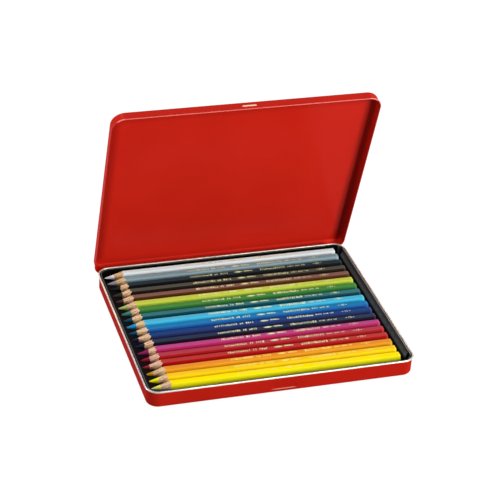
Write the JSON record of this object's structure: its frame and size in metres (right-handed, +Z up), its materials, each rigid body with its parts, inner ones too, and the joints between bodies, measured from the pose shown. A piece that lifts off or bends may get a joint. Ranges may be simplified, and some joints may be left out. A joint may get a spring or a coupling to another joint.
{
  "type": "colored pencil tin",
  "caption": "Flat rounded tin box with a rear-hinged lid standing open over a moulded tray that holds a single row of hexagonal coloured pencils.",
  "frame": {"origin": "middle of the base's flat underside", "axes": "+X along the pencils from their points to their blunt ends, +Y from the front edge to the hinges, +Z up"},
  "size_m": [0.1906, 0.1644, 0.1587],
  "materials": {
    "red_lacquer": "glossy red lacquer on tinplate",
    "bare_rim": "bright bare tin edge",
    "tray_black": "black moulded plastic",
    "hinge_steel": "zinc-bright steel",
    "pencil_01_lacquer": "white gloss lacquer over cedar",
    "pencil_01_pigment": "white wax pigment",
    "pencil_02_lacquer": "grey gloss lacquer over cedar",
    "pencil_02_pigment": "grey wax pigment",
    "pencil_03_lacquer": "black gloss lacquer over cedar",
    "pencil_03_pigment": "black wax pigment",
    "pencil_04_lacquer": "dark umber gloss lacquer over cedar",
    "pencil_04_pigment": "dark umber wax pigment",
    "pencil_05_lacquer": "russet gloss lacquer over cedar",
    "pencil_05_pigment": "russet wax pigment",
    "pencil_06_lacquer": "yellow green gloss lacquer over cedar",
    "pencil_06_pigment": "yellow green wax pigment",
    "pencil_07_lacquer": "green gloss lacquer over cedar",
    "pencil_07_pigment": "green wax pigment",
    "pencil_08_lacquer": "blue green gloss lacquer over cedar",
    "pencil_08_pigment": "blue green wax pigment",
    "pencil_09_lacquer": "light blue gloss lacquer over cedar",
    "pencil_09_pigment": "light blue wax pigment",
    "pencil_10_lacquer": "blue gloss lacquer over cedar",
    "pencil_10_pigment": "blue wax pigment",
    "pencil_11_lacquer": "ultramarine gloss lacquer over cedar",
    "pencil_11_pigment": "ultramarine wax pigment",
    "pencil_12_lacquer": "navy gloss lacquer over cedar",
    "pencil_12_pigment": "navy wax pigment",
    "pencil_13_lacquer": "magenta gloss lacquer over cedar",
    "pencil_13_pigment": "magenta wax pigment",
    "pencil_14_lacquer": "carmine gloss lacquer over cedar",
    "pencil_14_pigment": "carmine wax pigment",
    "pencil_15_lacquer": "red gloss lacquer over cedar",
    "pencil_15_pigment": "red wax pigment",
    "pencil_16_lacquer": "orange gloss lacquer over cedar",
    "pencil_16_pigment": "orange wax pigment",
    "pencil_17_lacquer": "golden yellow gloss lacquer over cedar",
    "pencil_17_pigment": "golden yellow wax pigment",
    "pencil_18_lacquer": "lemon yellow gloss lacquer over cedar",
    "pencil_18_pigment": "lemon yellow wax pigment"
  },
  "bodies": {
    "base": {"base_shell": "red_lacquer", "base_rim": "bare_rim", "pencil_tray": "tray_black", "base_hinge_left": "hinge_steel", "base_hinge_right": "hinge_steel", "hinge_pin_left": "hinge_steel", "hinge_pin_right": "hinge_steel"},
    "lid": {"lid_shell": "red_lacquer", "lid_rim": "red_lacquer", "lid_hinge_left": "hinge_steel", "lid_hinge_right": "hinge_steel"},
    "pencil_01": {"pencil_01_casing": "pencil_01_lacquer", "pencil_01_lead": "pencil_01_pigment"},
    "pencil_02": {"pencil_02_casing": "pencil_02_lacquer", "pencil_02_lead": "pencil_02_pigment"},
    "pencil_03": {"pencil_03_casing": "pencil_03_lacquer", "pencil_03_lead": "pencil_03_pigment"},
    "pencil_04": {"pencil_04_casing": "pencil_04_lacquer", "pencil_04_lead": "pencil_04_pigment"},
    "pencil_05": {"pencil_05_casing": "pencil_05_lacquer", "pencil_05_lead": "pencil_05_pigment"},
    "pencil_06": {"pencil_06_casing": "pencil_06_lacquer", "pencil_06_lead": "pencil_06_pigment"},
    "pencil_07": {"pencil_07_casing": "pencil_07_lacquer", "pencil_07_lead": "pencil_07_pigment"},
    "pencil_08": {"pencil_08_casing": "pencil_08_lacquer", "pencil_08_lead": "pencil_08_pigment"},
    "pencil_09": {"pencil_09_casing": "pencil_09_lacquer", "pencil_09_lead": "pencil_09_pigment"},
    "pencil_10": {"pencil_10_casing": "pencil_10_lacquer", "pencil_10_lead": "pencil_10_pigment"},
    "pencil_11": {"pencil_11_casing": "pencil_11_lacquer", "pencil_11_lead": "pencil_11_pigment"},
    "pencil_12": {"pencil_12_casing": "pencil_12_lacquer", "pencil_12_lead": "pencil_12_pigment"},
    "pencil_13": {"pencil_13_casing": "pencil_13_lacquer", "pencil_13_lead": "pencil_13_pigment"},
    "pencil_14": {"pencil_14_casing": "pencil_14_lacquer", "pencil_14_lead": "pencil_14_pigment"},
    "pencil_15": {"pencil_15_casing": "pencil_15_lacquer", "pencil_15_lead": "pencil_15_pigment"},
    "pencil_16": {"pencil_16_casing": "pencil_16_lacquer", "pencil_16_lead": "pencil_16_pigment"},
    "pencil_17": {"pencil_17_casing": "pencil_17_lacquer", "pencil_17_lead": "pencil_17_pigment"},
    "pencil_18": {"pencil_18_casing": "pencil_18_lacquer", "pencil_18_lead": "pencil_18_pigment"}
  },
  "joints": [
    {"name": "lid_hinge", "type": "hinge", "parent": "base", "child": "lid", "pos_m": [0, 0.0793, 0.0061], "axis": [-1, 0, 0], "range_deg": [-72.2, 77.8]},
    {"name": "pencil_01_lift", "type": "slide", "parent": "base", "child": "pencil_01", "axis": [0, 0, 1], "range_m": [0, 0.02]},
    {"name": "pencil_02_lift", "type": "slide", "parent": "base", "child": "pencil_02", "axis": [0, 0, 1], "range_m": [0, 0.02]},
    {"name": "pencil_03_lift", "type": "slide", "parent": "base", "child": "pencil_03", "axis": [0, 0, 1], "range_m": [0, 0.02]},
    {"name": "pencil_04_lift", "type": "slide", "parent": "base", "child": "pencil_04", "axis": [0, 0, 1], "range_m": [0, 0.02]},
    {"name": "pencil_05_lift", "type": "slide", "parent": "base", "child": "pencil_05", "axis": [0, 0, 1], "range_m": [0, 0.02]},
    {"name": "pencil_06_lift", "type": "slide", "parent": "base", "child": "pencil_06", "axis": [0, 0, 1], "range_m": [0, 0.02]},
    {"name": "pencil_07_lift", "type": "slide", "parent": "base", "child": "pencil_07", "axis": [0, 0, 1], "range_m": [0, 0.02]},
    {"name": "pencil_08_lift", "type": "slide", "parent": "base", "child": "pencil_08", "axis": [0, 0, 1], "range_m": [0, 0.02]},
    {"name": "pencil_09_lift", "type": "slide", "parent": "base", "child": "pencil_09", "axis": [0, 0, 1], "range_m": [0, 0.02]},
    {"name": "pencil_10_lift", "type": "slide", "parent": "base", "child": "pencil_10", "axis": [0, 0, 1], "range_m": [0, 0.02]},
    {"name": "pencil_11_lift", "type": "slide", "parent": "base", "child": "pencil_11", "axis": [0, 0, 1], "range_m": [0, 0.02]},
    {"name": "pencil_12_lift", "type": "slide", "parent": "base", "child": "pencil_12", "axis": [0, 0, 1], "range_m": [0, 0.02]},
    {"name": "pencil_13_lift", "type": "slide", "parent": "base", "child": "pencil_13", "axis": [0, 0, 1], "range_m": [0, 0.02]},
    {"name": "pencil_14_lift", "type": "slide", "parent": "base", "child": "pencil_14", "axis": [0, 0, 1], "range_m": [0, 0.02]},
    {"name": "pencil_15_lift", "type": "slide", "parent": "base", "child": "pencil_15", "axis": [0, 0, 1], "range_m": [0, 0.02]},
    {"name": "pencil_16_lift", "type": "slide", "parent": "base", "child": "pencil_16", "axis": [0, 0, 1], "range_m": [0, 0.02]},
    {"name": "pencil_17_lift", "type": "slide", "parent": "base", "child": "pencil_17", "axis": [0, 0, 1], "range_m": [0, 0.02]},
    {"name": "pencil_18_lift", "type": "slide", "parent": "base", "child": "pencil_18", "axis": [0, 0, 1], "range_m": [0, 0.02]}
  ]
}
